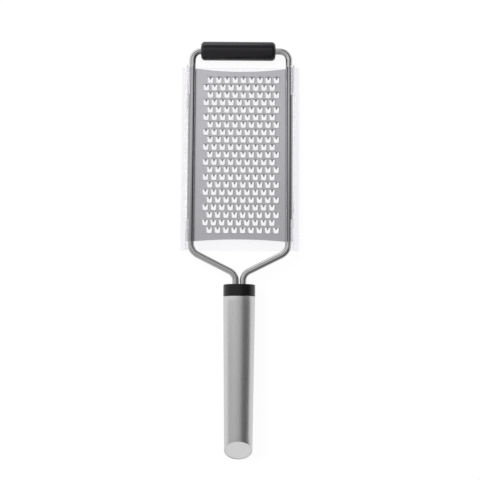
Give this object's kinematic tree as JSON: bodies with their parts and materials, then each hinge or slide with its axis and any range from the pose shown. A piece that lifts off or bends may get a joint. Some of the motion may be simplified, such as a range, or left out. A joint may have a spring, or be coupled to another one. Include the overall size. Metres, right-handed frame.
{
  "type": "rasp zester",
  "caption": "Wide hand rasp: a bent steel rod frame carries an etched toothed blade, with a rubber grip bar, a brushed tube handle cut off at a slant, and a clear cover that slides off.",
  "frame": {"origin": "the middle of the whole object, on the axis of the handle and in the plane of the rods", "axes": "+X to the right across the blade, +Y from the handle towards the grip bar, +Z out of the toothed side of the blade"},
  "size_m": [0.0938, 0.3278, 0.0248],
  "materials": {
    "frame_steel": "polished stainless rod",
    "blade_steel": "etched satin stainless sheet",
    "grip_rubber": "satin, smooth moulded",
    "collar_plastic": "satin",
    "core_plastic": "as moulded",
    "handle_steel": "brushed lengthwise",
    "cap_steel": "fine satin",
    "cover_plastic": "clear, slightly milky"
  },
  "bodies": {
    "grater": {"rod_frame": "frame_steel", "grating_blade": "blade_steel", "grip_bar": "grip_rubber", "collar": "collar_plastic", "handle_core": "core_plastic", "handle_tube": "handle_steel", "end_cap": "cap_steel"},
    "cover": {"protective_cover": "cover_plastic"}
  },
  "joints": [
    {"name": "cover_slide", "type": "slide", "parent": "grater", "child": "cover", "axis": [0, 1, 0], "range_m": [0, 0.17]}
  ]
}
